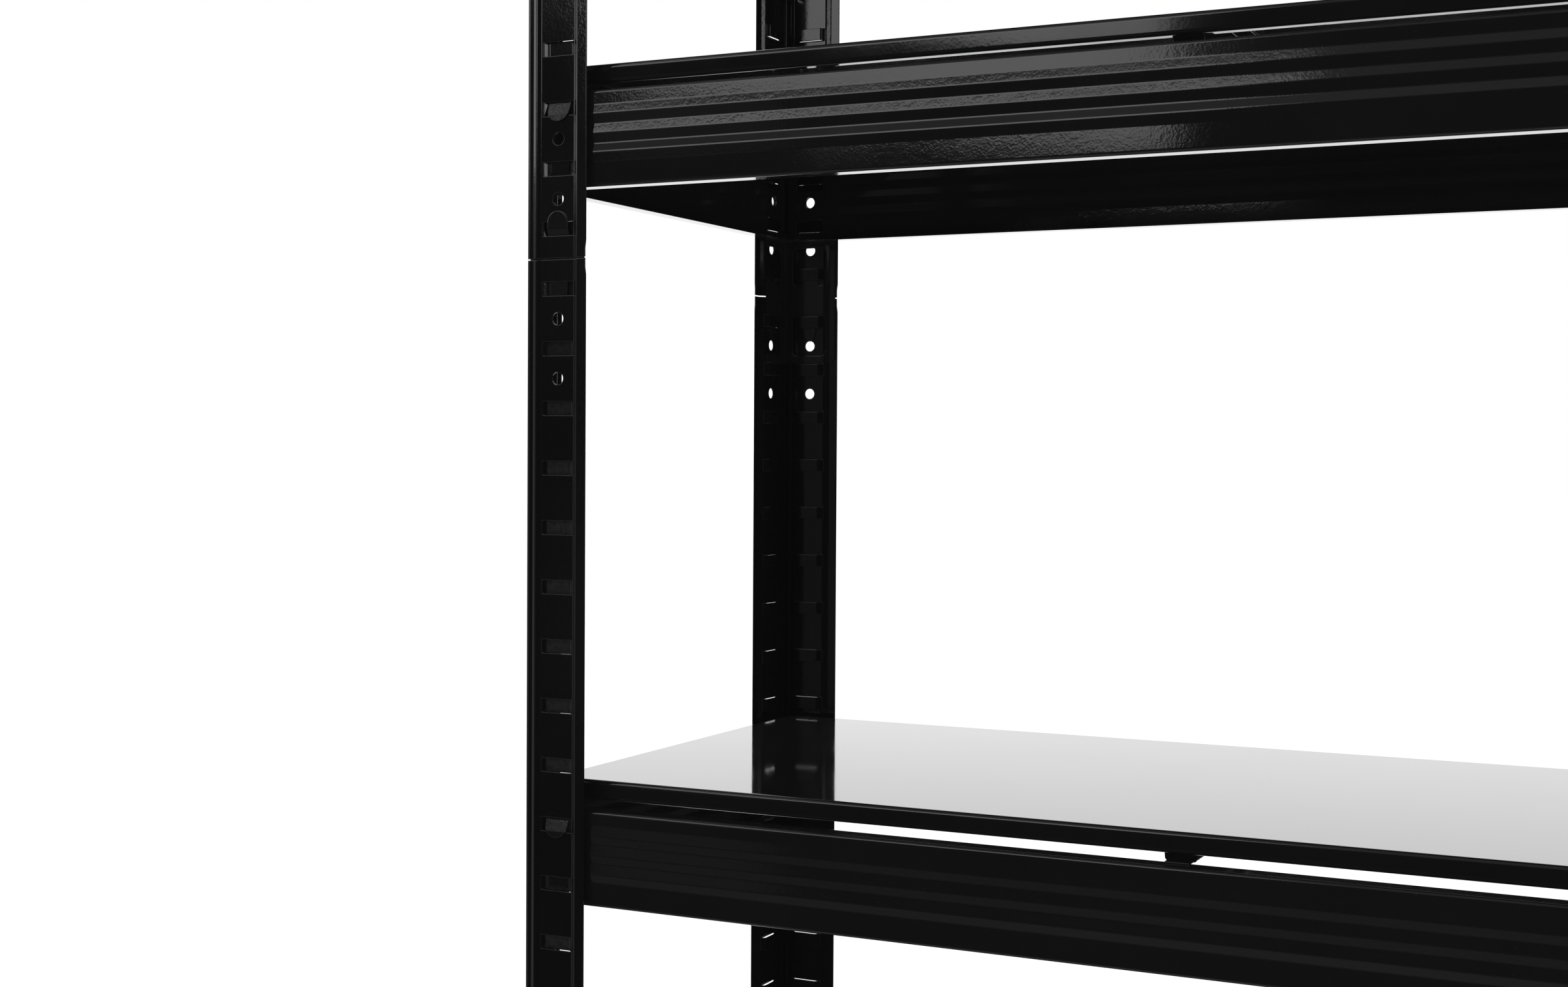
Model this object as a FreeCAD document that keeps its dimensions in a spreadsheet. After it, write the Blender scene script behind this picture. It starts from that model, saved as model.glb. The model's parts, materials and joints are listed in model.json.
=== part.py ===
import FreeCAD, Part
import math
import os
import Sketcher
from FreeCAD import Placement, Rotation, Vector

# Boltless steel shelving, 900 x 400 x 1800 mm class, five levels.
# Frame: +Z up, -Y is the front, X runs along the long side. The origin is on the floor under the
# middle of the unit. A post corner is the meeting line of the two flange outer planes.
# Each master part is modelled once in corner coordinates: the corner line is the Z axis, and the
# inside of the unit lies towards +X and +Y. Panel and stiffener masters are centred instead.
# Every physical piece is a compound of its master with its own placement.

doc = FreeCAD.newDocument("boltless_shelving")
dims = doc.addObject("Spreadsheet::Sheet", "Dims")

# alias, value in mm (or a count), note
CELLS = [
    ("unit_width", 894, "front flange plane, left corner to right corner"),
    ("unit_depth", 394, "side flange plane, front corner to rear corner"),
    ("foot_base", 3, "plastic under the post end"),
    ("foot_height", 25, "foot cap overall"),
    ("foot_wall", 2, "foot cap wall"),
    ("seam_height", 903, "middle of the gap between the post halves"),
    ("seam_gap", 1, "gap between the post halves"),
    ("half_length", 899.5, "half post"),
    ("post_sheet", 0.8, "post steel"),
    ("flange_width", 48.8, "corner plane to free edge"),
    ("joggle_start", 37.6, "where the edge zone begins to step out"),
    ("joggle_end", 41, "where the edge zone is flat again"),
    ("joggle_step", 3.2, "how far the edge zone stands out"),
    ("rib_start", 5.6, "pressed rib, side next to the corner"),
    ("rib_end", 11.4, "pressed rib, side away from the corner"),
    ("rib_height", 1.2, "how far the pressed rib stands out"),
    ("slot_pitch", 40, "slot spacing"),
    ("slot_count", 22, "slots per flange and half post"),
    ("slot_first", 19.5, "joint end to first slot middle"),
    ("slot_middle", 25, "slot middle from the corner plane"),
    ("slot_width", 24, "slot opening"),
    ("slot_height", 9.4, "slot opening"),
    ("bridge_height", 9.9, "strip pressed inward behind each slot"),
    ("bridge_depth", 3.2, "how far the strip is pressed in"),
    ("bridge_run", 2.6, "sloped end of the strip"),
    ("screw_hole", 8.6, "round holes near the joint end"),
    ("screw_first", 39.5, "joint end to first round hole"),
    ("joiner_gap", 0.9, "connector outer face inside the flange plane"),
    ("joiner_sheet", 0.8, "connector steel"),
    ("joiner_half", 54.3, "connector half length"),
    ("joiner_width", 47, "connector leg on the long side"),
    ("joiner_short", 36.4, "connector leg on the short side"),
    ("joiner_tongue_top", 32, "tip of the upper tongue above the seam"),
    ("joiner_tongue_width", 16, "upper tongue"),
    ("web_gap", 1.8, "beam web outer face inside the flange plane"),
    ("beam_sheet", 1, "beam steel"),
    ("beam_top", 11, "beam top above its slot"),
    ("beam_drop", 53, "beam bottom below its slot"),
    ("beam_end", 5, "beam end from the corner plane"),
    ("ledge_top", 15.2, "top ledge width inside the web"),
    ("ledge_low", 13, "bottom flange width inside the web"),
    ("ledge_trim", 18.5, "ledges of the long beams start here"),
    ("ridge_height", 1.2, "pressed ridges along the web"),
    ("ridge_start", 49.6, "ridges start to rise"),
    ("ridge_full", 51.6, "ridges at full height"),
    ("tongue_width", 17, "beam tongue"),
    ("tongue_drop", 8.6, "tip of the beam tongue below its slot"),
    ("beam_hole", 9, "round hole in the beam end"),
    ("panel_inset", 12.5, "panel edge inside the flange planes"),
    ("panel_top", 30, "panel face above the slot of its beams"),
    ("panel_sheet", 0.7, "panel steel"),
    ("panel_radius", 3, "panel top edge radius"),
    ("lip_depth", 13.1, "front and rear lip"),
    ("side_depth", 18.9, "side flange down to the side beam ledge"),
    ("curl_height", 5, "outer radius of the rounded lower lip edge"),
    ("curl_return", 8, "inward return under the lip"),
    ("rib_plate", 0.8, "stiffener steel"),
    ("stiff_width", 22, "stiffener web width"),
    ("stiff_wing", 12, "stiffener wing width"),
    ("level_1", 83, "slot height of level 1"),
    ("level_2", 523, "slot height of level 2"),
    ("level_3", 1003, "slot height of level 3"),
    ("level_4", 1403, "slot height of level 4"),
    ("level_5", 1763, "slot height of level 5"),
]
LEVELS = 5
for row, (alias, value, note) in enumerate(CELLS, start=1):
    dims.set("A%d" % row, alias)
    dims.set("B%d" % row, str(value))
    dims.set("C%d" % row, note)
    dims.setAlias("B%d" % row, alias)
doc.recompute()

# the two legs of a corner part: the front one lies along X, the side one along Y
LEGS = (("front", "XZ_Plane"), ("side", "YZ_Plane"))
# the sketch x, y and normal become Y, Z and X
ACROSS = Rotation(Vector(1, 1, 1), 120)
SWAP_XY = Vector(1, -1, 0)  # normal of the mirror plane that swaps X and Y


def size(alias):
    return float(getattr(dims, alias))


# ---------------------------------------------------------------- plane geometry

def vec(point):
    return Vector(point[0], point[1], 0)


def add(point, step, factor=1.0):
    return (point[0] + factor * step[0], point[1] + factor * step[1])


def unit(start, end):
    dx, dy = end[0] - start[0], end[1] - start[1]
    length = math.hypot(dx, dy)
    return (dx / length, dy / length)


def swap(points):
    return [(y, x) for x, y in points]


def rect(x0, y0, x1, y1):
    return [(x0, y0), (x1, y0), (x1, y1), (x0, y1)]


def offset_left(path, gap):
    """The path moved to its left by a gap, with mitred corners."""
    moved = []
    for i, point in enumerate(path):
        arriving = unit(path[i - 1], point) if i > 0 else None
        leaving = unit(point, path[i + 1]) if i < len(path) - 1 else None
        if arriving is None or leaving is None:
            dx, dy = arriving or leaving
            moved.append((point[0] - dy * gap, point[1] + dx * gap))
            continue
        normal_1 = (-arriving[1], arriving[0])
        normal_2 = (-leaving[1], leaving[0])
        factor = gap / (1.0 + normal_1[0] * normal_2[0] + normal_1[1] * normal_2[1])
        moved.append(add(point, add(normal_1, normal_2), factor))
    return moved


def sheet_section(path, bends, near, far, tip):
    """Closed section of a bent sheet between two left offsets of a path.

    bends: inside radius at each inner path point, None for a sharp corner; tip: end radius.
    Returns the corner points and their radii.
    """
    first, second = offset_left(path, near), offset_left(path, far)
    thick = far - near
    radii_1, radii_2 = [tip], [tip]
    for i, bend in enumerate(bends, start=1):
        if bend is None:
            radii_1.append(0.0)
            radii_2.append(0.0)
            continue
        arriving, leaving = unit(path[i - 1], path[i]), unit(path[i], path[i + 1])
        turns_left = arriving[0] * leaving[1] - arriving[1] * leaving[0] > 0
        radii_1.append(bend + (thick if turns_left else 0.0))
        radii_2.append(bend + (0.0 if turns_left else thick))
    radii_1.append(tip)
    radii_2.append(tip)
    return first + second[::-1], radii_1 + radii_2[::-1]


def outline(points, radii):
    """Line and arc geometry of a closed polygon with rounded corners."""
    count = len(points)
    corners = []  # arc start, arc middle (None if sharp), arc end
    for i, point in enumerate(points):
        radius = radii[i]
        before, after = points[i - 1], points[(i + 1) % count]
        back, ahead = unit(point, before), unit(point, after)
        dot = max(-1.0, min(1.0, back[0] * ahead[0] + back[1] * ahead[1]))
        half_angle = math.acos(dot) / 2.0
        if radius <= 1e-6 or half_angle > math.pi / 2 - 1e-4:
            corners.append((point, None, point))
            continue
        reach = radius / math.tan(half_angle)
        # a radius too large for its sides shrinks to fit
        room = min(math.dist(point, before), math.dist(point, after)) * 0.499
        if reach > room:
            reach = room
            radius = reach * math.tan(half_angle)
        bisector = unit((0, 0), add(back, ahead))
        middle = add(point, bisector, radius / math.sin(half_angle) - radius)
        corners.append((add(point, back, reach), middle, add(point, ahead, reach)))
    geometry = []
    for i, (start, middle, end) in enumerate(corners):
        if middle is not None:
            geometry.append(Part.Arc(vec(start), vec(middle), vec(end)))
        following = corners[(i + 1) % count][0]
        if math.dist(end, following) > 1e-6:
            geometry.append(Part.LineSegment(vec(end), vec(following)))
    return geometry


# ---------------------------------------------------------------- body features

def new_body(name):
    return doc.addObject("PartDesign::Body", name)


def origin_feature(body, role):
    return [f for f in body.Origin.OriginFeatures if f.Role == role][0]


def sketch(body, name, role, loops, lift=None):
    """Sketch on an origin plane; each loop is (points, radii), lift moves it along its normal.

    The sketch normal is -Y on the XZ plane and +X on the YZ plane.
    """
    drawing = body.newObject("Sketcher::SketchObject", name)
    drawing.AttachmentSupport = [(origin_feature(body, role), "")]
    drawing.MapMode = "FlatFace"
    if lift is not None:
        drawing.setExpression("AttachmentOffset.Base.z", lift)
    for points, radii in loops:
        drawing.addGeometry(outline(points, radii), False)
    return drawing


def constrain(drawing, kind, where, value, expression):
    """Add a dimension and bind it to the sheet."""
    index = drawing.addConstraint(Sketcher.Constraint(kind, *where, value))
    drawing.setExpression("Constraints[%d]" % index, expression)


def symmetric(feature):
    # guards against a version whose pads and pockets have no SideType
    if "SideType" in feature.PropertiesList:
        feature.SideType = "Symmetric"
    else:
        feature.Midplane = True


def pad(body, name, profile, length, back=False, both=False):
    feature = body.newObject("PartDesign::Pad", name)
    feature.Profile = profile
    feature.setExpression("Length", length)
    feature.Reversed = back
    if both:
        symmetric(feature)
    body.Tip = feature
    return feature


def pocket(body, name, profile, length, upward=False, least=1e-6):
    """A cut on both sides of its sketch plane, or only along its normal if upward.

    It has to remove more than the least volume.
    """
    doc.recompute()
    before = body.Shape.Volume
    feature = body.newObject("PartDesign::Pocket", name)
    feature.Profile = profile
    feature.Length = length
    if upward:
        feature.Reversed = True
    else:
        symmetric(feature)
    body.Tip = feature
    doc.recompute()
    if not body.Shape.Volume < before - least:
        raise RuntimeError(name + " cut too little")
    return feature


# ---------------------------------------------------------------- free-standing features

def extrusion(name, base, direction, length):
    feature = doc.addObject("Part::Extrusion", name)
    feature.Base = base
    feature.DirMode = "Custom"
    feature.Dir = direction
    feature.LengthFwd = length
    feature.Solid = True
    return feature


def mirroring(name, source, base, normal):
    feature = doc.addObject("Part::Mirroring", name)
    feature.Source = source
    feature.Base = base
    feature.Normal = normal
    return feature


def fusion(name, shapes):
    feature = doc.addObject("Part::MultiFuse", name)
    feature.Shapes = shapes
    feature.Refine = True
    return feature


def box(name, x_text, width, y, depth, low, high):
    """A box from low to high in Z, whose X place is an expression."""
    feature = doc.addObject("Part::Box", name)
    feature.Length = width
    feature.Width = depth
    feature.Height = high - low
    feature.Placement.Base = Vector(0, y, low)
    feature.setExpression("Placement.Base.x", x_text)
    return feature


def tongue_outline(half_width, root, tip):
    """Strip with a half-round end; the tip height may lie above or below the root height."""
    sign = 1.0 if tip > root else -1.0
    x, centre = size("slot_middle"), tip - sign * half_width
    root_left, root_right = vec((x - half_width, root)), vec((x + half_width, root))
    end_left, end_right = vec((x - half_width, centre)), vec((x + half_width, centre))
    return [Part.LineSegment(end_left, root_left), Part.LineSegment(root_left, root_right),
            Part.LineSegment(root_right, end_right),
            Part.Arc(end_right, vec((x, tip)), end_left)]


def crossing_tongue(name, path, bend, thick, half_width, root, tip):
    """A tongue that passes through the flange plane: a bent strip trimmed to a front outline.

    The path is in (depth, height), with the sheet on its left and the same bend at both bends.
    """
    margin = 1
    reach = 8  # the front outline is extruded this far to each side of the flange plane
    side = doc.addObject("Sketcher::SketchObject", name + "_side")
    points, radii = sheet_section(path, [bend, bend], 0.0, thick, 0.0)
    side.addGeometry(outline(points, radii), False)
    side.Placement = Placement(Vector(size("slot_middle") - half_width - margin, 0, 0), ACROSS)
    front = doc.addObject("Sketcher::SketchObject", name + "_front")
    front.addGeometry(tongue_outline(half_width, root, tip), False)
    front.Placement = Placement(Vector(0, reach, 0), Rotation(Vector(1, 0, 0), 90))
    doc.recompute()
    run = extrusion(name + "_run", side, Vector(1, 0, 0), 2 * (half_width + margin))
    shape = extrusion(name + "_shape", front, Vector(0, -1, 0), 2 * reach)
    common = doc.addObject("Part::Common", name)
    common.Base = run
    common.Tool = shape
    doc.recompute()
    return common


# ---------------------------------------------------------------- half post

def slot_sketch(body, name, role):
    """The first slot below the joint end, constrained and bound to the sheet."""
    drawing = sketch(body, name, role, [])
    x, y = size("slot_middle"), -size("slot_first")
    half_x, half_y = size("slot_width") / 2, size("slot_height") / 2
    corners = [vec(p) for p in rect(x - half_x, y - half_y, x + half_x, y + half_y)]
    sides = [Part.LineSegment(corners[i], corners[(i + 1) % 4]) for i in range(4)]
    drawing.addGeometry(sides, False)
    joints = [Sketcher.Constraint("Coincident", i, 2, (i + 1) % 4, 1) for i in range(4)]
    directions = [Sketcher.Constraint("Vertical" if i % 2 else "Horizontal", i)
                  for i in range(4)]
    drawing.addConstraint(joints + directions)
    constrain(drawing, "DistanceX", (0, 1, 0, 2), 2 * half_x, "Dims.slot_width")
    constrain(drawing, "DistanceY", (1, 1, 1, 2), 2 * half_y, "Dims.slot_height")
    constrain(drawing, "DistanceX", (-1, 1, 0, 1), x - half_x,
              "Dims.slot_middle - Dims.slot_width / 2")
    constrain(drawing, "DistanceY", (2, 2, -1, 1), -(y + half_y),
              "Dims.slot_first - Dims.slot_height / 2")
    return drawing


def hole_sketch(body, name, role, row):
    """A round hole, row slot pitches below the first one."""
    drawing = sketch(body, name, role, [])
    x, drop = size("slot_middle"), size("screw_first") + row * size("slot_pitch")
    circle = Part.Circle(Vector(x, -drop, 0), Vector(0, 0, 1), size("screw_hole") / 2)
    drawing.addGeometry(circle, False)
    constrain(drawing, "Diameter", (0,), size("screw_hole"), "Dims.screw_hole")
    constrain(drawing, "DistanceX", (-1, 1, 0, 3), x, "Dims.slot_middle")
    constrain(drawing, "DistanceY", (0, 3, -1, 1), drop,
              "Dims.screw_first + %d * Dims.slot_pitch" % row)
    return drawing


def build_post():
    """Half post with its joint end at z = 0, running down."""
    rib_slope_in, rib_slope_out = 2.2, 2.4
    through = 3.0  # cut depth of slots and holes
    relief_cut = 9.0
    step, edge = size("joggle_step"), size("flange_width")
    rib_start, rib_end, rib = size("rib_start"), size("rib_end"), size("rib_height")
    leg = [(rib_start, 0.0), (rib_start + rib_slope_in, -rib),
           (rib_end - rib_slope_out, -rib), (rib_end, 0.0),
           (size("joggle_start"), 0.0), (size("joggle_end"), -step), (edge, -step)]
    leg_bends = [0.3, 0.9, 0.9, 0.9, 1.2, 1.2]
    corner_bend = 4.2
    path = swap(leg)[::-1] + [(0.0, 0.0)] + leg
    bends = leg_bends[::-1] + [corner_bend] + leg_bends

    post = new_body("half_post_master")
    section = sheet_section(path, bends, 0.0, size("post_sheet"), 0.35)
    profile = sketch(post, "post_section", "XY_Plane", [section])
    pad(post, "post_blank", profile, "Dims.half_length", back=True)

    # slots: an opening in each flange, with a strip pressed inward behind it
    slots = []
    for tag, role in LEGS:
        profile = slot_sketch(post, "slot_" + tag, role)
        slots.append(pocket(post, "slot_%s_cut" % tag, profile, through))
    lap = 1.2  # the strip overlaps the flange beside the slot
    middle, half = size("slot_middle"), size("slot_width") / 2
    run, deep = size("bridge_run"), size("bridge_depth")
    strip = [(middle - half - lap, 0.0), (middle - half, 0.0), (middle - half + run, deep),
             (middle + half - run, deep), (middle + half, 0.0), (middle + half + lap, 0.0)]
    points, radii = sheet_section(strip, [1.3, 1.6, 1.6, 1.3], 0.0, size("post_sheet"), 0.0)
    for tag, loop in (("front", (points, radii)), ("side", (swap(points)[::-1], radii[::-1]))):
        profile = sketch(post, "bridge_" + tag, "XY_Plane", [loop],
                         "-Dims.slot_first + Dims.bridge_height / 2")
        slots.append(pad(post, "bridge_%s_strip" % tag, profile, "Dims.bridge_height",
                         back=True))
    rows = post.newObject("PartDesign::LinearPattern", "slot_rows")
    rows.Originals = slots
    rows.Direction = (origin_feature(post, "Z_Axis"), [""])
    rows.Reversed = True
    rows.setExpression("Length", "Dims.slot_pitch * (Dims.slot_count - 1)")
    rows.setExpression("Occurrences", "Dims.slot_count")
    post.Tip = rows

    # two round holes in each flange near the joint end
    for row in range(2):
        for tag, role in LEGS:
            profile = hole_sketch(post, "round_%s_%d" % (tag, row + 1), role, row)
            pocket(post, "round_%s_cut_%d" % (tag, row + 1), profile, through)

    # the free edges narrow a little at the joint end
    narrowing = 0.8
    relief = [(edge - narrowing, 1.0), (edge - narrowing, -6.0), (edge + 0.01, -12.0),
              (edge + 2.0, -12.0), (edge + 2.0, 1.0)]
    for tag, role in LEGS:
        profile = sketch(post, "edge_relief_" + tag, role, [(relief, [0, 6.0, 0, 0, 0])])
        pocket(post, "edge_relief_cut_" + tag, profile, relief_cut)
    return post


# ---------------------------------------------------------------- post connector

def build_connectors():
    """Connector with the seam middle at z = 0, and its mirror image with the legs exchanged."""
    inner = size("joiner_gap")
    outer = inner + size("joiner_sheet")
    width, short, half_length = size("joiner_width"), size("joiner_short"), size("joiner_half")
    step = size("joggle_step")
    joiner = new_body("connector_master")
    path = [(0.0, short), (0.0, 0.0), (size("joggle_start"), 0.0),
            (size("joggle_end"), -step), (width, -step)]
    section = sheet_section(path, [3.3, 2.1, 0.3], inner, outer, 0.3)
    profile = sketch(joiner, "joiner_section", "XY_Plane", [section])
    pad(joiner, "joiner_blank", profile, "2 * Dims.joiner_half", both=True)

    # windows, closed on the long leg and open at the free edge of the short leg
    window_start, long_window_end = 9.3, 39.2
    low_bottom, low_top = -48.0, -14.6
    high_bottom, high_top = 11.0, 42.0
    window_cut = 9.0
    # the free corners of the long leg are cut off
    corner_high = [(width - 4, half_length + 1), (width + 1, half_length + 1),
                   (width + 1, half_length - 5)]
    corner_low = [(x, -z) for x, z in corner_high][::-1]
    corners = [(corner_high, [0, 0, 0]), (corner_low, [0, 0, 0])]
    for (tag, role), end, extra in zip(LEGS, (long_window_end, short + 4), (corners, [])):
        low = (rect(window_start, low_bottom, end, low_top), [4.0, 4.0, 1.0, 1.0])
        high = (rect(window_start, high_bottom, end, high_top), [4.0] * 4)
        profile = sketch(joiner, "joiner_windows_" + tag, role, [low, high] + extra)
        pocket(joiner, "joiner_windows_cut_" + tag, profile, window_cut)

    # straight tongue in the lower window: (across the leg, height)
    low_tongue = [(18.0, -14.3), (18.4, -24.0), (20.6, -33.0), (23.5, -36.0),
                  (26.5, -36.0), (29.4, -33.0), (31.6, -24.0), (32.0, -14.3)]
    low_radii = [0, 3, 2, 2, 2, 2, 3, 0]
    lifts = ("-(Dims.joiner_gap + Dims.joiner_sheet)", "Dims.joiner_gap")
    for (tag, role), lift in zip(LEGS, lifts):
        profile = sketch(joiner, "low_tongue_" + tag, role, [(low_tongue, low_radii)], lift)
        pad(joiner, "low_tongue_%s_pad" % tag, profile, "Dims.joiner_sheet")
    doc.recompute()

    # upper tongue, which crosses through the first slot of the upper post half
    tip, proud = size("joiner_tongue_top"), 0.2
    rising = [(outer, 10.0), (outer, 15.9), (-proud, 20.2), (-proud, tip + 2)]
    tongue = crossing_tongue("joiner_tongue", rising, bend=0.6, thick=size("joiner_sheet"),
                             half_width=size("joiner_tongue_width") / 2, root=10.8, tip=tip)
    side_tongue = mirroring("joiner_tongue_side", tongue, Vector(0, 0, 0), SWAP_XY)
    whole = fusion("connector_whole", [joiner, tongue, side_tongue])
    mirrored = mirroring("connector_whole_mirrored", whole, Vector(0, 0, 0), SWAP_XY)
    doc.recompute()
    return whole, mirrored


# ---------------------------------------------------------------- beams

def beam_section(ridge):
    """C section in (depth, height); the path runs from the top ledge down the web."""
    first_ridge, ridge_pitch = 9.6, 12.8  # below the beam top
    ridge_factors = (1.0, 1.0, 1.2)
    # one ridge: distance below its upper edge, share of the full height
    ridge_steps = ((0.7, 0.06), (5.7, 0.94), (6.4, 1.0), (7.1, 0.94), (12.1, 0.06), (12.8, 0.0))
    web, top, bottom = size("web_gap"), size("beam_top"), -size("beam_drop")
    path = [(web + size("ledge_top"), top), (web, top), (web, top - first_ridge)]
    for i, factor in enumerate(ridge_factors):
        start = top - first_ridge - i * ridge_pitch
        for drop, share in ridge_steps:
            path.append((web - share * factor * ridge, start - drop))
    path += [(web, bottom), (web + size("ledge_low"), bottom)]
    bends = [1.2] + [None] * (len(path) - 4) + [1.2]
    return sheet_section(path, bends, 0.0, size("beam_sheet"), 0.3)


def beam_blank(prefix, span):
    """Loft through sections that are flat at the ends and ridged in between."""
    length = size(span)
    flat = 1e-3  # the flat sections keep a trace of the ridges
    left = (("beam_end", flat), ("ridge_start", flat), ("ridge_full", size("ridge_height")))
    stations = [(size(alias), "Dims." + alias, ridge) for alias, ridge in left]
    stations += [(length - size(alias), "Dims.%s - Dims.%s" % (span, alias), ridge)
                 for alias, ridge in left[::-1]]
    sections = []
    for i, (x, x_text, ridge) in enumerate(stations, start=1):
        section = doc.addObject("Sketcher::SketchObject", "%s_section_%d" % (prefix, i))
        section.addGeometry(outline(*beam_section(ridge)), False)
        section.Placement = Placement(Vector(x, 0, 0), ACROSS)
        section.setExpression("Placement.Base.x", x_text)
        sections.append(section)
    doc.recompute()
    loft = doc.addObject("Part::Loft", prefix + "_blank")
    loft.Sections = sections
    loft.Solid = True
    loft.Ruled = True
    loft.Closed = False
    doc.recompute()
    return loft


def beam_cuts(prefix, span, trim, slot_places):
    """End windows, round holes and ledge trims; trim is where the ledges start."""
    window_width = 25.0
    windows = (("upper", -10.2, 5.6), ("lower", -50.0, -34.6))  # name, bottom, top
    hole_height = -20
    bite = 2.6  # how far a ledge trim reaches into the C
    top, bottom = size("beam_top"), -size("beam_drop")
    ledges = (("top", top - bite, top + 1), ("low", bottom - 1, bottom + bite))
    behind_web = size("web_gap") + size("beam_sheet") + 0.02
    trim_places = {"left": "0", "right": "Dims.%s - %s" % (span, trim)}
    tools = []
    for tag, place in slot_places:
        for name, low, high in windows:
            tools.append(box("%s_window_%s_%s" % (prefix, name, tag),
                             "%s - %s" % (place, window_width / 2),
                             window_width, 1.0, 3.0, low, high))
        hole = doc.addObject("Part::Cylinder", "%s_hole_%s" % (prefix, tag))
        hole.Height = 4
        hole.Placement = Placement(Vector(0, 4.5, hole_height), Rotation(Vector(1, 0, 0), 90))
        hole.setExpression("Radius", "Dims.beam_hole / 2")
        hole.setExpression("Placement.Base.x", place)
        tools.append(hole)
        for name, low, high in ledges:
            tools.append(box("%s_ledge_%s_%s" % (prefix, name, tag), trim_places[tag],
                             trim, behind_web, 30, low, high))
    cuts = doc.addObject("Part::Compound", prefix + "_cuts")
    cuts.Links = tools
    return cuts


def build_beam(prefix, span, trim):
    """Beam along X with its slot middle at z = 0 and the left corner plane at x = 0."""
    slot_places = (("left", "Dims.slot_middle"),
                   ("right", "Dims.%s - Dims.slot_middle" % span))
    web, drop = size("web_gap"), size("tongue_drop")
    loft = beam_blank(prefix, span)
    blank = doc.addObject("Part::Cut", prefix + "_cut")
    blank.Base = loft
    blank.Tool = beam_cuts(prefix, span, trim, slot_places)
    doc.recompute()

    # hook tongues: a crossing one in the upper window, a short straight one in the lower window
    falling = [(web, 7.2), (web, 3.3), (-1.21, -4.6), (-1.8, -drop - 2)]
    tongue = crossing_tongue(prefix + "_tongue", falling, bend=1.0, thick=size("beam_sheet"),
                             half_width=size("tongue_width") / 2, root=6.2, tip=-drop)
    far_tongue = mirroring(prefix + "_tongue_far", tongue, Vector(size(span) / 2, 0, 0),
                           Vector(1, 0, 0))
    far_tongue.setExpression("Base.x", "Dims.%s / 2" % span)
    shapes = [blank, tongue, far_tongue]
    stub_width, stub_bottom, stub_top = 14, -42.2, -34.4
    for tag, place in slot_places:
        stub = box("%s_stub_%s" % (prefix, tag), "%s - %s" % (place, stub_width / 2),
                   stub_width, web, size("beam_sheet"), stub_bottom, stub_top)
        stub.setExpression("Width", "Dims.beam_sheet")
        shapes.append(stub)
    whole = fusion(prefix + "_whole", shapes)
    doc.recompute()
    return whole


# ---------------------------------------------------------------- shelf panel

def build_panel():
    """Panel centred in plan, with the slot middle of its beams at z = 0."""
    half_x = size("unit_width") / 2 - size("panel_inset")
    half_y = size("unit_depth") / 2 - size("panel_inset")
    top, sheet = size("panel_top"), size("panel_sheet")
    low, lip = top - size("side_depth"), top - size("lip_depth")
    plan_radius = 4.0
    panel = new_body("panel_master")
    plan = (rect(-half_x, -half_y, half_x, half_y), [plan_radius] * 4)
    profile = sketch(panel, "panel_plan", "XY_Plane", [plan],
                     "Dims.panel_top - Dims.side_depth")
    block = pad(panel, "panel_block", profile, "Dims.side_depth")
    doc.recompute()

    edges = []
    for i, edge in enumerate(panel.Shape.Edges, start=1):
        heights = [v.Point.z for v in edge.Vertexes] + [edge.CenterOfMass.z]
        if all(abs(z - top) < 1e-6 for z in heights):
            edges.append("Edge%d" % i)
    rounded = panel.newObject("PartDesign::Fillet", "panel_top_edge")
    rounded.Base = (block, edges)
    rounded.setExpression("Radius", "Dims.panel_radius")
    rounded.UseAllEdges = False
    panel.Tip = rounded
    doc.recompute()

    # hollow the block from below
    under = [i for i, face in enumerate(panel.Shape.Faces, start=1)
             if face.Surface.TypeId == "Part::GeomPlane"
             and abs(face.CenterOfMass.z - low) < 1e-6][0]
    shell = panel.newObject("PartDesign::Thickness", "panel_shell")
    shell.Base = (rounded, ["Face%d" % under])
    shell.setExpression("Value", "Dims.panel_sheet")
    shell.Reversed = True
    shell.Mode = "Skin"
    shell.Join = "Arc"
    panel.Tip = shell
    doc.recompute()

    # front and rear walls are shorter than the side walls
    trim_inside, trim_outside = 4.0, 1
    curl_top = lip + size("curl_height") + 0.1
    front_trim = rect(-half_y - trim_outside, low - 1, -half_y + trim_inside, curl_top)
    rear_trim = rect(half_y - trim_inside, low - 1, half_y + trim_outside, curl_top)
    profile = sketch(panel, "lip_trim", "YZ_Plane",
                     [(front_trim, [0] * 4), (rear_trim, [0] * 4)])
    pocket(panel, "lip_trim_cut", profile, 2 * half_x + 4)

    # each lip ends in an inward curl
    path = [(-half_y, curl_top), (-half_y, lip), (-half_y + size("curl_return"), lip)]
    points, radii = sheet_section(path, [size("curl_height") - sheet], 0.0, sheet, 0.0)
    rear_curl = ([(-y, z) for y, z in points][::-1], radii[::-1])
    profile = sketch(panel, "lip_curl", "YZ_Plane", [(points, radii), rear_curl])
    pad(panel, "lip_curl_pad", profile,
        "Dims.unit_width - 2 * Dims.panel_inset - 2 * 2.2", both=True)
    doc.recompute()
    return panel


# ---------------------------------------------------------------- stiffener

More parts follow.
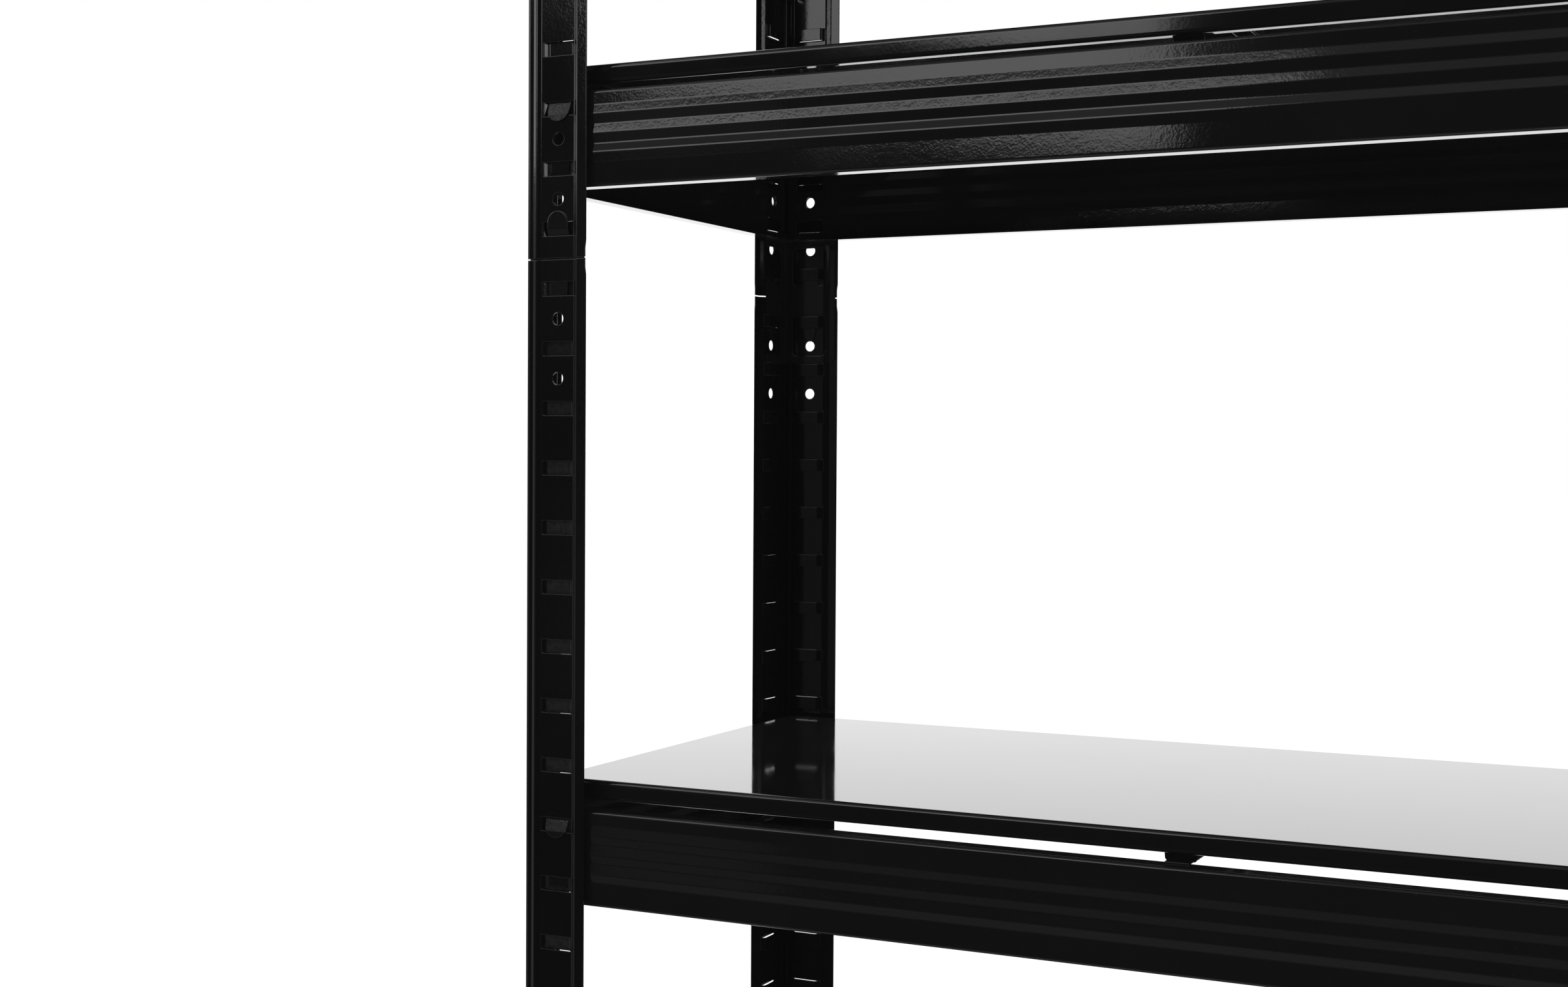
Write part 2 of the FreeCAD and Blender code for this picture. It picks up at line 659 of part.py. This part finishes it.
def build_stiffener():
    """Hat section under the panel, running front to back, with the slot middle at z = 0."""
    panel_gap, beam_gap = 0.02, 0.05
    slope, tab_inset = 1.5, 3.2
    plate = size("rib_plate")
    wing_z = size("panel_top") - size("panel_sheet") - panel_gap - plate
    web_z = size("beam_top") + beam_gap
    half, wing = size("stiff_width") / 2, size("stiff_wing")
    stiffener = new_body("stiffener_master")
    hat = [(-half - wing, wing_z), (-half, wing_z), (-half + slope, web_z),
           (half - slope, web_z), (half, wing_z), (half + wing, wing_z)]
    section = sheet_section(hat, [1.0] * 4, 0.0, plate, 0.3)
    profile = sketch(stiffener, "hat_section", "XZ_Plane", [section])
    pad(stiffener, "hat", profile,
        "Dims.unit_depth - 2 * Dims.panel_inset - 2 * (Dims.curl_return + 1)", both=True)
    # a longer flat strip in the web forms a tab at each end
    tab = rect(-half + tab_inset, web_z, half - tab_inset, web_z + plate)
    profile = sketch(stiffener, "tab_section", "XZ_Plane", [(tab, [0.3] * 4)])
    pad(stiffener, "end_tabs", profile,
        "Dims.unit_depth - 2 * Dims.panel_inset - 2 * 0.5", both=True)
    doc.recompute()
    return stiffener


# ---------------------------------------------------------------- foot cap

def angle_plan(low, high, inside):
    """L shape with its outer corner at (low, low), leg ends at high and inner faces at inside."""
    return [(low, low), (high, low), (high, inside), (inside, inside), (inside, high),
            (low, high)]


def build_foot():
    """Foot cap with the floor at z = 0."""
    wall = size("foot_wall")
    # socket planes, each with a little play around the post
    low = -(size("joggle_step") + 0.2)
    high = size("flange_width") + 0.4
    inside = size("post_sheet") + 0.3
    foot = new_body("foot_master")
    plan = (angle_plan(low - wall, high + wall, inside + wall), [3.0, 2.0, 1.0, 1.5, 1.0, 2.0])
    profile = sketch(foot, "foot_plan", "XY_Plane", [plan])
    pad(foot, "foot_block", profile, "Dims.foot_height")
    socket = (angle_plan(low, high, inside), [1.2, 0.6, 0.4, 4.4, 0.4, 0.6])
    profile = sketch(foot, "foot_socket", "XY_Plane", [socket], "Dims.foot_base")
    pocket(foot, "foot_socket_cut", profile, 60, upward=True, least=1000)
    return foot


# ---------------------------------------------------------------- the pieces

nodes = []


def piece(name, master, rotation, x, y, z):
    """One physical piece: a master, turned and placed by three expressions."""
    node = doc.addObject("Part::Compound", name)
    node.Label = name
    node.Links = [master]
    node.Placement = Placement(Vector(0, 0, 0), rotation)
    for axis, text in (("x", x), ("y", y), ("z", z)):
        node.setExpression("Placement.Base." + axis, text)
    nodes.append(node)


def turn(angle):
    return Rotation(Vector(0, 0, 1), angle)


post = build_post()
connector, connector_mirrored = build_connectors()
long_beam = build_beam("long_beam", "unit_width", size("ledge_trim"))
side_beam = build_beam("side_beam", "unit_depth", size("beam_end") + 1.0)
panel = build_panel()
stiffener = build_stiffener()
foot = build_foot()

RIGHT, REAR = "Dims.unit_width / 2", "Dims.unit_depth / 2"
LEFT, FRONT = "-" + RIGHT, "-" + REAR
# corner name, turn about Z, x, y
CORNERS = [("front_left", 0, LEFT, FRONT), ("front_right", 90, RIGHT, FRONT),
           ("rear_right", 180, RIGHT, REAR), ("rear_left", 270, LEFT, REAR)]
UPSIDE_DOWN = Rotation(Vector(1, 1, 0), 180)  # also exchanges X and Y

for corner, angle, x, y in CORNERS:
    # the mirrored connector keeps its long leg on the long side of the unit
    joiner = connector if angle in (0, 180) else connector_mirrored
    piece("post_lower_" + corner, post, turn(angle), x, y, "Dims.foot_base + Dims.half_length")
    piece("post_upper_" + corner, post, turn(angle).multiply(UPSIDE_DOWN), x, y,
          "Dims.seam_height + Dims.seam_gap / 2")
    piece("connector_" + corner, joiner, turn(angle), x, y, "Dims.seam_height")
    piece("foot_" + corner, foot, turn(angle), x, y, "0")
for level in range(1, LEVELS + 1):
    z = "Dims.level_%d" % level
    piece("long_beam_front_%d" % level, long_beam, turn(0), LEFT, FRONT, z)
    piece("long_beam_rear_%d" % level, long_beam, turn(180), RIGHT, REAR, z)
    piece("side_beam_left_%d" % level, side_beam, turn(270), LEFT, REAR, z)
    piece("side_beam_right_%d" % level, side_beam, turn(90), RIGHT, FRONT, z)
    piece("shelf_panel_%d" % level, panel, turn(0), "0", "0", z)
    piece("panel_stiffener_%d" % level, stiffener, turn(0), "0", "0", z)
doc.recompute()

# ---------------------------------------------------------------- checks and output

for item in doc.Objects:
    if any(word in state for state in item.State for word in ("Invalid", "Error")):
        raise RuntimeError("%s: %s" % (item.Name, item.State))
for node in nodes:
    if node.Shape.isNull() or not node.Shape.isValid():
        raise RuntimeError(node.Label + " has no valid shape")
    if len(node.Shape.Solids) != 1:
        raise RuntimeError("%s has %d solids" % (node.Label, len(node.Shape.Solids)))
os.makedirs("parts", exist_ok=True)
for node in nodes:
    node.Shape.exportStep("parts/%s.step" % node.Label)
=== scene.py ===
"""A frame of gloss black sheet steel: slotted posts, hooked beams, panels, connectors and
plastic feet. Z is up, the longer side runs along X and the front faces -Y. The shapes come from
the CAD pieces; this script adds the materials, the floor, the lights and the camera. Metres."""

import json
import math

import bpy
from mathutils import Matrix, Vector


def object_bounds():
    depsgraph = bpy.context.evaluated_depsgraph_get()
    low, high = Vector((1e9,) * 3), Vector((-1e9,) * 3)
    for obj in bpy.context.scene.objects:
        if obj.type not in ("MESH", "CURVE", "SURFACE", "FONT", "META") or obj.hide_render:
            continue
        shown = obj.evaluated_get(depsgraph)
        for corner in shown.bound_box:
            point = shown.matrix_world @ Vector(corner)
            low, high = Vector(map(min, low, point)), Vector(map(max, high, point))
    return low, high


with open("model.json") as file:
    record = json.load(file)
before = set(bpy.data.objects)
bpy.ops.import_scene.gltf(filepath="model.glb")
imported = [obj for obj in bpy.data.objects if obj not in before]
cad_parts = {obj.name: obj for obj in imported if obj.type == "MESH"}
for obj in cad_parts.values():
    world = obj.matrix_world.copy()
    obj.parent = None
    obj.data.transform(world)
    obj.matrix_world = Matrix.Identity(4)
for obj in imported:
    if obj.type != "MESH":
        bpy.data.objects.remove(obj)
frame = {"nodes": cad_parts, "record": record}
cad_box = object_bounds()
scene = bpy.context.scene

WHITE = (1, 1, 1, 1)

# ------------------------------------------------------------------ node helpers


class Tree:
    """Short ways to add linked nodes. Any input may be a plain value or another node's output."""

    def __init__(self, tree):
        self.tree = tree

    def put(self, socket, value):
        if isinstance(value, bpy.types.NodeSocket):
            self.tree.links.new(value, socket)
        else:
            socket.default_value = value

    def node(self, kind, inputs=None, **props):
        """Add a node; inputs maps socket names or indices to values."""
        node = self.tree.nodes.new(kind)
        for name, value in props.items():
            setattr(node, name, value)
        for key, value in (inputs or {}).items():
            self.put(node.inputs[key], value)
        return node

    def math(self, operation, *values, clamp=False):
        inputs = dict(enumerate(values))
        return self.node("ShaderNodeMath", inputs, operation=operation, use_clamp=clamp).outputs[0]

    def times(self, first, *factors):
        for factor in factors:
            first = self.math("MULTIPLY", first, factor)
        return first

    def times_add(self, value, factor, offset):
        return self.math("MULTIPLY_ADD", value, factor, offset)

    def vector(self, operation, inputs):
        return self.node("ShaderNodeVectorMath", inputs, operation=operation).outputs

    def split(self, vector):
        return self.node("ShaderNodeSeparateXYZ", {0: vector}).outputs

    # the Mix node has one set of sockets for each data type
    def mix(self, factor, a, b):
        inputs = {0: factor, 6: a, 7: b}
        return self.node("ShaderNodeMix", inputs, data_type="RGBA").outputs[2]

    def mix_value(self, factor, a, b):
        inputs = {0: factor, 2: a, 3: b}
        return self.node("ShaderNodeMix", inputs, data_type="FLOAT").outputs[0]

    def noise(self, vector, scale, detail, rough, seed):
        inputs = {"Vector": vector, "W": seed, "Scale": scale, "Detail": detail, "Roughness": rough}
        return self.node("ShaderNodeTexNoise", inputs, noise_dimensions="4D").outputs["Fac"]

    def ramp(self, value, span, to=(0.0, 1.0)):
        """Smooth step from to[0] at span[0] to to[1] at span[1]."""
        inputs = {
            "Value": value,
            "From Min": span[0],
            "From Max": span[1],
            "To Min": to[0],
            "To Max": to[1],
        }
        node = self.node("ShaderNodeMapRange", inputs, interpolation_type="SMOOTHSTEP")
        return node.outputs["Result"]

    def bevel(self, radius, samples):
        return self.node("ShaderNodeBevel", {"Radius": radius}, samples=samples).outputs["Normal"]

    def bump(self, height, distance, strength=1.0, normal=None):
        inputs = {"Strength": strength, "Distance": distance, "Height": height}
        if normal is not None:
            inputs["Normal"] = normal
        return self.node("ShaderNodeBump", inputs).outputs["Normal"]

    def object_coords(self):
        return self.node("ShaderNodeTexCoord").outputs["Object"]

    def emission(self, strength):
        inputs = {"Color": WHITE, "Strength": strength}
        return self.node("ShaderNodeEmission", inputs).outputs[0]

    def surface(self, shader):
        self.node("ShaderNodeOutputMaterial", {"Surface": shader})


def material(name):
    new = bpy.data.materials.new(name)
    new.use_nodes = True
    new.node_tree.nodes.clear()
    return new, Tree(new.node_tree)


# ------------------------------------------------------------------ powder coat

# the slot strips stand outside these lines, on both sides of the origin
SLOT_LINE = {"X": 0.422, "Y": 0.172}
SIDES = (("X", "Y"), ("Y", "X"))  # axis a strip faces, axis across its width
STRIP_OUT = 0.0218  # strip face beyond the slot line
STRIP_DEPTH_TOLERANCE = 0.0006
STRIP_HALF_FADE = (0.0125, 0.0105)  # the painted sheen fades in between these half widths
HOOK_OUT = 0.0235  # hook tongues lie further out than this
HOOK_HALF_WIDTH = 0.0095

EDGE_WEAR = 0.6
THIN_COAT = (0.045, 0.045, 0.047, 1.0)
DUST = (0.16, 0.16, 0.155, 1.0)
# painted sheen: the lighter tone of the slot strips stands in for a reflection
STRIP_SHEEN_COLOUR = (0.0140, 0.0140, 0.0142, 1.0)


def off_centre(t, at, axis):
    """Distance from the middle of a slot strip, across its width."""
    across = t.math("SUBTRACT", t.math("ABSOLUTE", at[axis]), SLOT_LINE[axis])
    return t.math("ABSOLUTE", across)


def painted_strip_sheen(t, coord, normal, seed):
    """Painted sheen: the outer faces of the slot strips are painted lighter, standing in for a
    reflection, in mottled patches and more strongly lower down.
    """
    at = t.split(coord)
    facing = t.split(normal)
    masks = []
    for side, other in SIDES:
        distance = t.math("ABSOLUTE", at[side])
        wall = SLOT_LINE[side] + STRIP_OUT
        deep = t.math("COMPARE", distance, wall, STRIP_DEPTH_TOLERANCE)
        across = t.ramp(off_centre(t, at, other), span=STRIP_HALF_FADE)
        outward = t.times(t.math("SIGN", at[side]), facing[side])
        masks.append(t.times(deep, across, t.math("GREATER_THAN", outward, 0.5)))
    patches = t.noise(coord, scale=320.0, detail=3.0, rough=0.6, seed=seed)
    return t.times(
        t.math("MAXIMUM", *masks),
        t.ramp(at["Z"], span=(0.72, 0.95), to=(1.0, 0.25)),
        t.ramp(patches, span=(0.30, 0.62), to=(0.45, 1.0)),
    )


def hook_wear(t, coord, seed):
    """Slots rub the hook tongues matt. Returns the worn mask and the specular level."""
    at = t.split(coord)
    masks = []
    for side, other in SIDES:
        distance = t.math("ABSOLUTE", at[side])
        proud = t.math("GREATER_THAN", distance, SLOT_LINE[side] + HOOK_OUT)
        across = t.math("LESS_THAN", off_centre(t, at, other), HOOK_HALF_WIDTH)
        masks.append(t.times(proud, across))
    worn = t.math("MAXIMUM", *masks)
    # noise drawn out along Z makes upright streaks
    stretched = t.vector("MULTIPLY", {0: coord, 1: (1.0, 1.0, 0.12)})[0]
    streak = t.noise(stretched, scale=1500.0, detail=2.0, rough=0.55, seed=seed)
    loss = t.times_add(t.ramp(streak, span=(0.32, 0.68)), factor=0.18, offset=0.22)
    return worn, t.times_add(t.times(worn, loss), factor=-1.0, offset=0.5)


def coat_normal(t, coord, seed, peel, wave, lean, round_edge):
    """Rounded, leaning faces, then the slow waviness of the sheet, then the peel of the coat."""
    peel_depth, peel_size = peel
    wave_depth, wave_size = wave
    fine = t.noise(coord, scale=1.0 / peel_size, detail=1.5, rough=0.45, seed=seed)
    broad = t.noise(coord, scale=0.38 / peel_size, detail=1.0, rough=0.45, seed=seed + 5.0)
    peel_height = t.times_add(broad, factor=1.1, offset=fine)
    slow = t.noise(coord, scale=1.0 / wave_size, detail=1.0, rough=0.4, seed=seed + 3.0)

    # sheet edges spring back a little, so upright faces lean by a small amount
    parts = t.split(t.bevel(round_edge, samples=6))
    upright = t.math("SUBTRACT", 1.0, t.times(parts["Z"], parts["Z"]))
    leaned = {"X": parts["X"], "Y": parts["Y"], "Z": t.times_add(upright, -lean, parts["Z"])}
    joined = t.node("ShaderNodeCombineXYZ", leaned).outputs[0]
    unit = t.vector("NORMALIZE", {0: joined})[0]
    waved = t.bump(slow, distance=wave_depth, normal=unit)
    return t.bump(peel_height, distance=peel_depth, normal=waved)


def dull_at_flat_angles(t, shader, colour, geometry):
    """At very flat angles the crests of the peel shade each other, so a broad face never
    mirrors like glass."""
    glance = t.vector("DOT_PRODUCT", {0: geometry["Incoming"], 1: geometry["Normal"]})["Value"]
    shaded = t.ramp(t.math("ABSOLUTE", glance), span=(0.035, 0.112), to=(0.60, 0.0))
    dull = t.node("ShaderNodeBsdfDiffuse", {"Color": colour}).outputs[0]
    return t.node("ShaderNodeMixShader", {0: shaded, 1: shader, 2: dull}).outputs[0]


def powder_coat(name, seed, base, rough, peel, wave, lean=0.0, round_edge=0.0006, painted_glow=0.0022,
                strips=False, hooks=False, flat_angle=False):
    """Gloss black coat on sheet steel: orange peel, slow sheet waviness, thin worn edges and
    faint dust. peel and wave are (depth, size); each noise has its own offset from seed."""
    coated, t = material(name)
    geometry = t.node("ShaderNodeNewGeometry").outputs
    coord = t.object_coords()
    patch = t.noise(coord, scale=9.0, detail=3.0, rough=0.55, seed=seed + 7.0)
    speck = t.noise(coord, scale=900.0, detail=1.0, rough=0.5, seed=seed + 11.0)
    dust = t.ramp(speck, span=(0.70, 0.80))

    def patch_swing():
        return t.ramp(patch, span=(0.3, 0.7), to=(-1.0, 1.0))

    # the coat pulls thin over sharp edges and looks a shade lighter there
    edge_normal = t.bevel(0.0005, samples=4)
    dot = t.vector("DOT_PRODUCT", {0: edge_normal, 1: geometry["Normal"]})["Value"]
    thin = t.times(
        t.ramp(dot, span=(0.995, 0.80)),
        t.ramp(patch, span=(0.35, 0.65), to=(0.35, 1.0)),
        EDGE_WEAR,
    )

    base_node = t.node("ShaderNodeRGB")
    base_node.outputs[0].default_value = (*base, 1.0)
    shade = t.times_add(patch_swing(), factor=0.12, offset=1.0)
    shaded = t.vector("SCALE", {0: base_node.outputs[0], "Scale": shade})[0]
    colour = t.mix(thin, shaded, THIN_COAT)
    colour = t.mix(t.times(dust, 0.05), colour, DUST)
    if strips:
        # painted sheen on the slot strips, standing in for a reflection
        colour = t.mix(painted_strip_sheen(t, coord, geometry["Normal"], seed + 13.0), colour, STRIP_SHEEN_COLOUR)

    # roughness varies by patch, by object and with the dust
    random = t.node("ShaderNodeObjectInfo").outputs["Random"]
    roughness = t.times_add(patch_swing(), factor=0.025, offset=rough)
    roughness = t.times_add(random, factor=0.01, offset=roughness)
    roughness = t.times_add(dust, factor=0.10, offset=roughness)

    inputs = {
        "Base Color": colour,
        "Normal": coat_normal(t, coord, seed, peel, wave, lean, round_edge),
        "IOR": 1.5,
        "Metallic": 0.0,
        # a faint painted glow stands in for stray light and keeps the blacks from closing up
        "Emission Color": WHITE,
        "Emission Strength": painted_glow,
    }
    if hooks:
        worn, inputs["Specular IOR Level"] = hook_wear(t, coord, seed + 17.0)
        roughness = t.times_add(worn, factor=0.10, offset=roughness)
    inputs["Roughness"] = roughness
    shader = t.node("ShaderNodeBsdfPrincipled", inputs).outputs["BSDF"]
    if flat_angle:
        shader = dull_at_flat_angles(t, shader, colour, geometry)
    t.surface(shader)
    return coated


# ------------------------------------------------------------------ materials


def moulded_plastic(name, base):
    """Fine-grained plastic, clouded between the base colour and one half as bright again."""
    moulded, t = material(name)
    coord = t.object_coords()
    grain = t.noise(coord, scale=2400.0, detail=3.0, rough=0.6, seed=1.0)
    cloud = t.noise(coord, scale=60.0, detail=2.0, rough=0.5, seed=2.0)
    lighter = [channel * 1.5 for channel in base]
    inputs = {
        "Normal": t.bump(grain, distance=0.00008, strength=0.6),
        "Base Color": t.mix(cloud, (*base, 1.0), (*lighter, 1.0)),
        "Roughness": t.ramp(cloud, span=(0.2, 0.8), to=(0.42, 0.56)),
    }
    t.surface(t.node("ShaderNodeBsdfPrincipled", inputs).outputs["BSDF"])
    return moulded


MATERIALS = {
    "post_black": powder_coat(
        "post_black", seed=1.0, base=(0.0024, 0.0024, 0.0026), rough=0.085,
        peel=(0.000024, 0.0016), wave=(0.00006, 0.060),
        round_edge=0.0008, painted_glow=0.0016, strips=True),
    "beam_black": powder_coat(
        "beam_black", seed=21.0, base=(0.0030, 0.0030, 0.0032), rough=0.070,
        peel=(0.000022, 0.0015), wave=(0.00006, 0.070), hooks=True),
    "panel_black": powder_coat(
        "panel_black", seed=41.0, base=(0.0028, 0.0028, 0.0030), rough=0.060,
        peel=(0.000008, 0.0020), wave=(0.00012, 0.110), lean=0.035, flat_angle=True),
    "connector_black": powder_coat(
        "connector_black", seed=61.0, base=(0.0034, 0.0034, 0.0036), rough=0.12,
        peel=(0.000020, 0.0018), wave=(0.00005, 0.050), round_edge=0.0011),
    "foot_plastic": moulded_plastic("foot_plastic", base=(0.012, 0.012, 0.0125)),
}
slots = {part["node"]: part["material_slot"] for part in frame["record"]["subparts"]}
for name, piece in frame["nodes"].items():
    piece.data.materials.clear()
    piece.data.materials.append(MATERIALS[slots[name]])

# ------------------------------------------------------------------ floor

FLOOR_HALF = 40
FLOOR_GAP = 0.0005  # below the lowest CAD point


def flat_object(name, corners):
    mesh = bpy.data.meshes.new(name)
    mesh.from_pydata(corners, [], [tuple(range(len(corners)))])
    flat = bpy.data.objects.new(name, mesh)
    scene.collection.objects.link(flat)
    return flat


def pale_floor():
    pale, t = material("floor_pale")
    diffuse = t.node("ShaderNodeBsdfDiffuse", {"Color": (0.80, 0.80, 0.80, 1)}).outputs[0]
    lift = t.emission(strength=0.36)
    t.surface(t.node("ShaderNodeAddShader", {0: diffuse, 1: lift}).outputs[0])
    return pale


signs = ((-1, -1), (1, -1), (1, 1), (-1, 1))
floor = flat_object("floor", [(x * FLOOR_HALF, y * FLOOR_HALF, 0) for x, y in signs])
floor.location.z = cad_box[0][2] - FLOOR_GAP
floor.data.materials.append(pale_floor())
floor.visible_glossy = False

# ------------------------------------------------------------------ world

ROOM = 0.012  # strength of the dark room in the gloss
SWEEP = 1.58  # strength the white sweep adds to it
DIFFUSE_GLOW = 0.85
BACKDROP = 1.0


def degree_ramp(t, angle, start, end):
    return t.ramp(angle, span=(math.radians(start), math.radians(end)))


def mirrored_room(t, direction):
    """Strength seen in the gloss: a white sweep ahead of the camera, wider to its right, and a
    dark room elsewhere."""
    turned = t.node("ShaderNodeVectorTransform", {0: direction}, vector_type="VECTOR",
                    convert_from="WORLD", convert_to="CAMERA").outputs[0]
    seen = t.split(turned)
    side = t.math("ARCTAN2", seen["X"], seen["Z"])
    rise = t.math("ABSOLUTE", t.math("ARCSINE", seen["Y"]))
    sweep = t.times(
        degree_ramp(t, side, start=-12.0, end=-6.5),
        degree_ramp(t, side, start=32.0, end=24.0),
        degree_ramp(t, rise, start=44.0, end=32.0),
    )
    sweep = t.times_add(sweep, factor=SWEEP, offset=ROOM)

    # the lit floor close to the object, and a dim ceiling
    height = t.split(direction)["Z"]
    below = t.math("MULTIPLY_ADD", height, -1.42, -0.37, clamp=True)
    below = t.times(t.times(below, below), 0.50)
    ceiling = [math.sin(math.radians(angle)) for angle in (16.0, 42.0)]
    above = t.ramp(height, span=ceiling, to=(0.0, 0.28))
    ends = t.math("ADD", t.math("ADD", below, above), ROOM)
    return t.math("MAXIMUM", sweep, ends)


world = bpy.data.worlds.new("studio")
scene.world = world
world.use_nodes = True
world.cycles.sampling_method = "NONE"
world.node_tree.nodes.clear()
t = Tree(world.node_tree)
room = mirrored_room(t, t.node("ShaderNodeTexCoord").outputs["Generated"])
path = t.node("ShaderNodeLightPath").outputs
glow = t.mix_value(path["Is Glossy Ray"], DIFFUSE_GLOW, room)
glow = t.mix_value(path["Is Camera Ray"], glow, BACKDROP)
background = t.node("ShaderNodeBackground", {"Color": WHITE, "Strength": glow}).outputs[0]
t.node("ShaderNodeOutputWorld", {"Surface": background})

# ------------------------------------------------------------------ lights


def softbox(name, place, target, width, height, radiance):
    data = bpy.data.lights.new(name, "AREA")
    data.shape = "RECTANGLE"
    data.size, data.size_y = width, height
    data.energy = radiance * math.pi * width * height
    box = bpy.data.objects.new(name, data)
    scene.collection.objects.link(box)
    box.location = place
    box.rotation_euler = (Vector(target) - Vector(place)).to_track_quat("-Z", "Y").to_euler()
    box.visible_camera = False


def lamp_panel(name, corners, radiance, lights=True):
    """A glowing flat panel; without lights it only shows in reflections."""
    panel = flat_object(name, corners)
    glowing, t = material(name)
    t.surface(t.emission(radiance))
    panel.data.materials.append(glowing)
    panel.visible_camera = False
    panel.visible_shadow = False
    panel.visible_diffuse = lights


# front left, high: it widens upwards and its lower edge falls towards +X
KEY_Y = -2.5
KEY_RADIANCE = 2.3
KEY_OUTLINES = {  # x, z
    "key": [(-1.72, 1.475), (-0.66, 1.28), (-0.50, 2.57), (-2.31, 2.57), (-2.06, 1.86),
            (-1.82, 1.70)],
    "key_top": [(-3.35, 3.30), (-2.35, 3.30), (-2.35, 4.80), (-3.35, 4.80)],
}
for name, outline in KEY_OUTLINES.items():
    lamp_panel(name, [(x, KEY_Y, z) for x, z in outline], KEY_RADIANCE)

softbox("right", place=(2.5, -1.13, 1.72), target=(-0.42, -0.2, 1.72),
        width=0.50, height=1.06, radiance=3.0)
# above the middle of the object
softbox("left", place=(-2.4, -1.20, 1.92), target=(0.0, -1.20, 1.92),
        width=2.48, height=1.40, radiance=1.3)

# the dim wall below the left softbox
left_low = [(-2.44, -0.6), (0.10, -0.6), (0.10, 1.20), (-2.44, 1.20)]  # y, z
lamp_panel("left_low", [(-2.42, y, z) for y, z in left_low], radiance=0.22, lights=False)
# a faint glow low in front, mirrored in the rear posts only
front_low = [(-1.80, 0.15), (-1.40, 0.15), (-1.40, 1.20), (-1.80, 1.27)]  # x, z
lamp_panel("front_low", [(x, -2.49, z) for x, z in front_low], radiance=0.084, lights=False)

# ------------------------------------------------------------------ camera

camera_data = bpy.data.cameras.new("camera")
camera = bpy.data.objects.new("camera", camera_data)
scene.collection.objects.link(camera)
scene.camera = camera
camera_data.sensor_width = 36.0
camera_data.lens = 47.194684
camera_data.clip_start = 0.01
camera_data.clip_end = 200
camera.location = (0.3219, -1.3675, 0.7769)
# yaw turns from +Y towards -X
yaw, pitch, roll = (math.radians(angle) for angle in (26.139, -1.251, 0.332))
view = Vector((-math.sin(yaw) * math.cos(pitch), math.cos(yaw) * math.cos(pitch), math.sin(pitch)))
rolled = view.to_track_quat("-Z", "Y") @ Matrix.Rotation(roll, 3, "Z").to_quaternion()
camera.rotation_euler = rolled.to_euler()

scene.view_settings.view_transform = "Standard"
scene.view_settings.look = "None"
scene.view_settings.exposure = 0.0
scene.view_settings.gamma = 1.0

bpy.context.view_layer.update()
